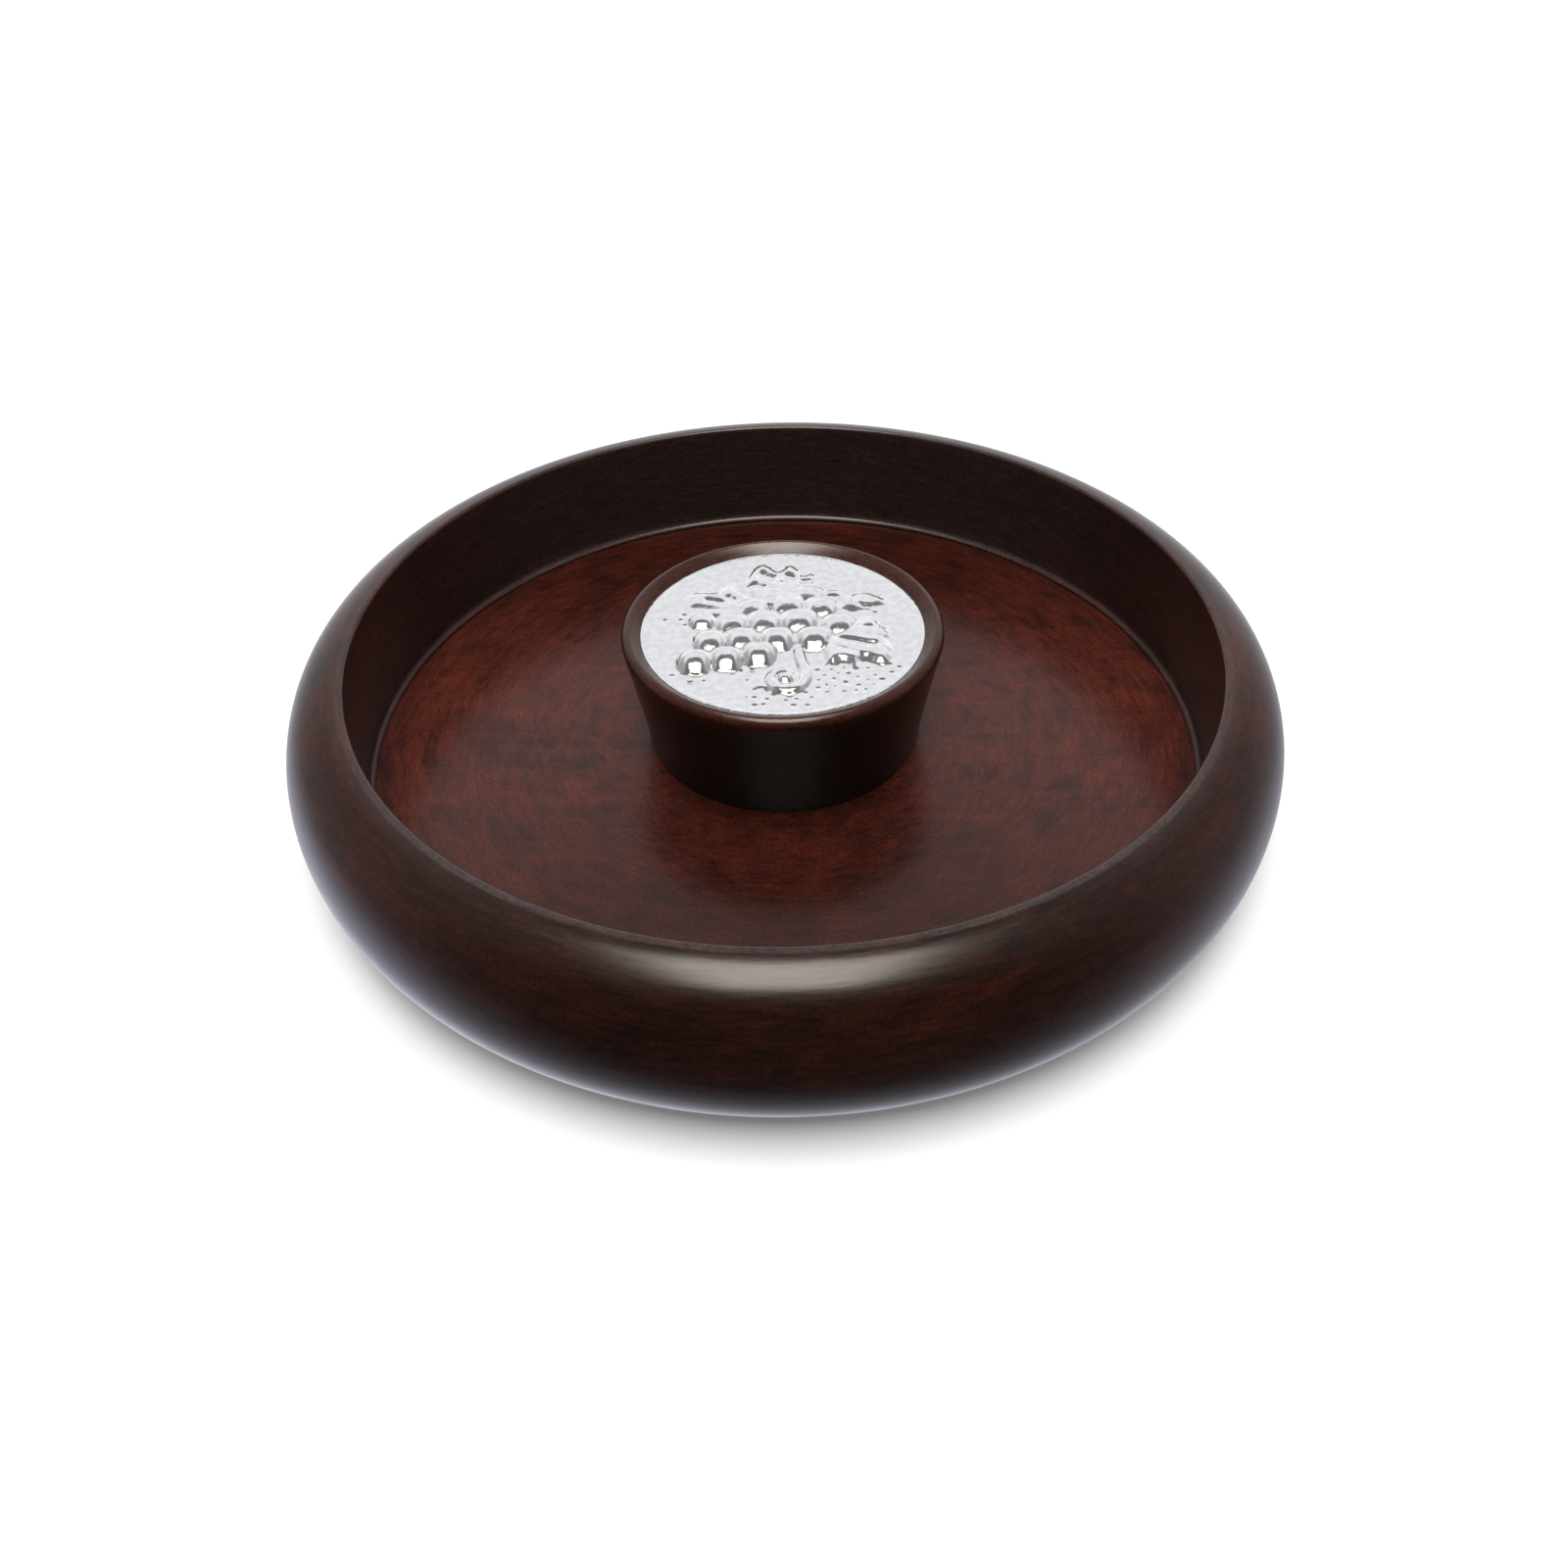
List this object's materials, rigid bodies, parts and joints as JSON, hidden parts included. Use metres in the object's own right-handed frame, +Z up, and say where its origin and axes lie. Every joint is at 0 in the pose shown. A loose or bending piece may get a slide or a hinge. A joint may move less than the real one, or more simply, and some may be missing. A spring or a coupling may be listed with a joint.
{
  "type": "offering plate",
  "caption": "Round turned wooden offering plate with a fat rounded rim, a flat floor and a raised centre post topped by a pressed silver medallion of grapes.",
  "frame": {"origin": "centre of the underside, on the surface that the plate stands on", "axes": "+Z up along the plate's turning axis; +Y towards the top of the medallion's picture; +X to the right of someone who looks at that picture upright"},
  "size_m": [0.3048, 0.3048, 0.0536],
  "materials": {
    "stained_wood": "dark red-brown stain under satin lacquer",
    "silver": "polished silver plate, pressed relief on a lightly hammered ground",
    "backing_board": "raw fibre board",
    "felt": "dark brown felt",
    "screw_steel": "bright zinc plate"
  },
  "bodies": {
    "root": {"bowl_ring": "stained_wood", "floor_panel": "stained_wood", "center_post": "stained_wood", "medallion": "silver", "medallion_backing": "backing_board", "base_felt": "felt", "post_screw_1": "screw_steel", "post_screw_2": "screw_steel", "post_screw_3": "screw_steel"}
  },
  "joints": []
}
